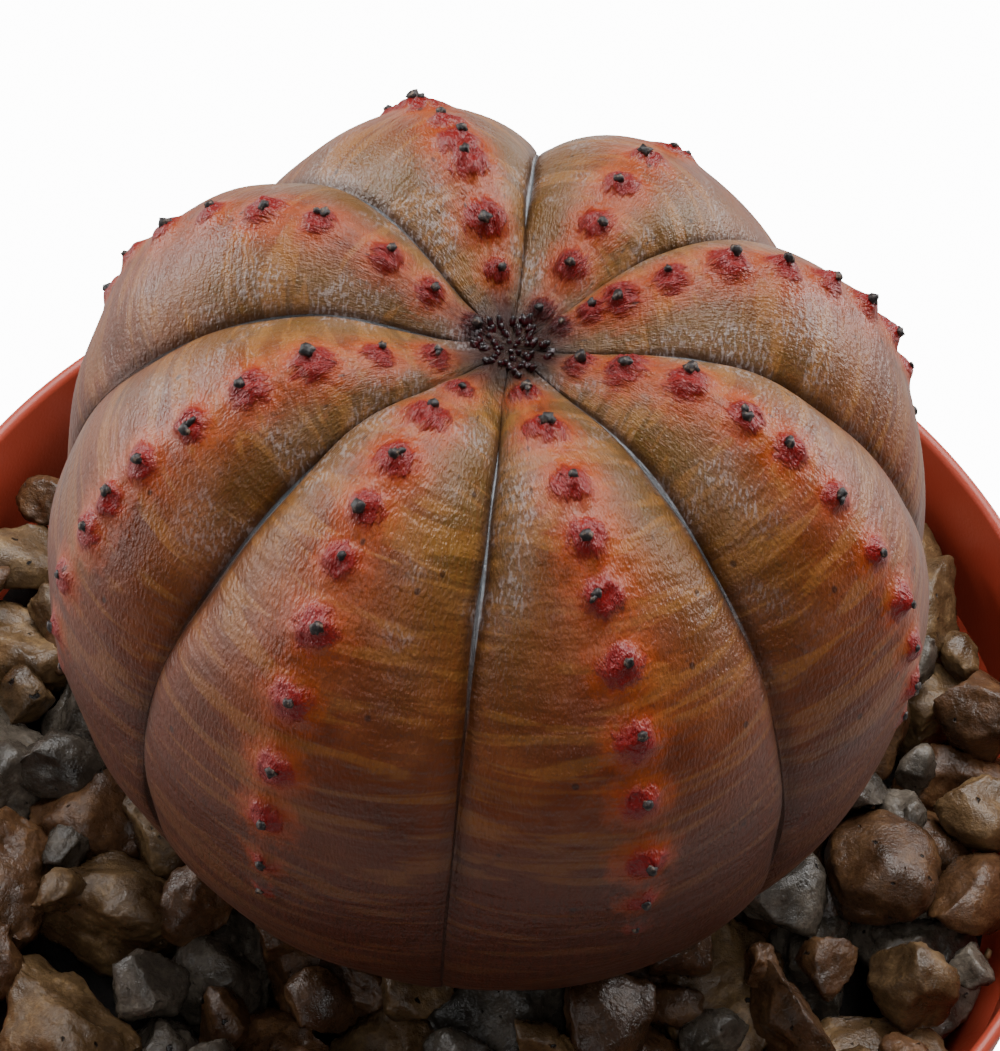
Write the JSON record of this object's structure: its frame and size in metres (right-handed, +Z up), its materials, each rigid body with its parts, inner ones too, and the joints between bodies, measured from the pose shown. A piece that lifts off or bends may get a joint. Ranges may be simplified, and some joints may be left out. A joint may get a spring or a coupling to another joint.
{
  "type": "potted round cactus",
  "caption": "Round ribbed succulent, like a cactus, in a tapered round plastic pot with a collared rim, topped with loose gravel.",
  "frame": {"origin": "on the ground under the centre of the pot", "axes": "+Z up along the pot's axis; -Y towards the side that the picture was taken from, a furrow of the plant near it"},
  "size_m": [0.065, 0.065, 0.088],
  "materials": {
    "terracotta_polypropylene": "satin",
    "potting_mix": "matte",
    "succulent_skin": "satin",
    "tan_gravel": "matte",
    "brown_gravel": "matte",
    "grey_gravel": "matte"
  },
  "bodies": {
    "root": {"pot": "terracotta_polypropylene", "potting_mix": "potting_mix", "plant": "succulent_skin", "gravel_stone_01": "tan_gravel", "gravel_stone_02": "brown_gravel", "gravel_stone_03": "grey_gravel", "gravel_stone_04": "tan_gravel", "gravel_stone_05": "brown_gravel", "gravel_stone_06": "grey_gravel", "gravel_stone_07": "tan_gravel", "gravel_stone_08": "brown_gravel", "gravel_stone_09": "grey_gravel", "gravel_stone_10": "tan_gravel", "gravel_stone_11": "brown_gravel", "gravel_stone_12": "grey_gravel", "gravel_stone_13": "tan_gravel", "gravel_stone_14": "brown_gravel", "gravel_stone_15": "grey_gravel", "gravel_stone_16": "tan_gravel", "gravel_stone_17": "brown_gravel", "gravel_stone_18": "grey_gravel", "gravel_stone_19": "tan_gravel", "gravel_stone_20": "brown_gravel", "gravel_stone_21": "grey_gravel", "gravel_stone_22": "tan_gravel", "gravel_stone_23": "brown_gravel", "gravel_stone_24": "grey_gravel", "gravel_stone_25": "tan_gravel", "gravel_stone_26": "brown_gravel", "gravel_stone_27": "grey_gravel", "gravel_stone_28": "tan_gravel", "gravel_stone_29": "brown_gravel", "gravel_stone_30": "grey_gravel", "gravel_stone_31": "tan_gravel", "gravel_stone_32": "brown_gravel", "gravel_stone_33": "grey_gravel", "gravel_stone_34": "tan_gravel", "gravel_stone_35": "brown_gravel", "gravel_stone_36": "grey_gravel", "gravel_stone_37": "tan_gravel", "gravel_stone_38": "brown_gravel", "gravel_stone_39": "grey_gravel", "gravel_stone_40": "tan_gravel", "gravel_stone_41": "brown_gravel", "gravel_stone_42": "grey_gravel", "gravel_stone_43": "tan_gravel", "gravel_stone_44": "brown_gravel", "gravel_stone_45": "grey_gravel", "gravel_stone_46": "tan_gravel", "gravel_stone_47": "brown_gravel", "gravel_stone_48": "grey_gravel", "gravel_stone_49": "tan_gravel", "gravel_stone_50": "brown_gravel", "gravel_stone_51": "grey_gravel", "gravel_stone_52": "tan_gravel", "gravel_stone_53": "brown_gravel", "gravel_stone_54": "grey_gravel", "gravel_stone_55": "tan_gravel", "gravel_stone_56": "brown_gravel", "gravel_stone_57": "grey_gravel"}
  },
  "joints": []
}
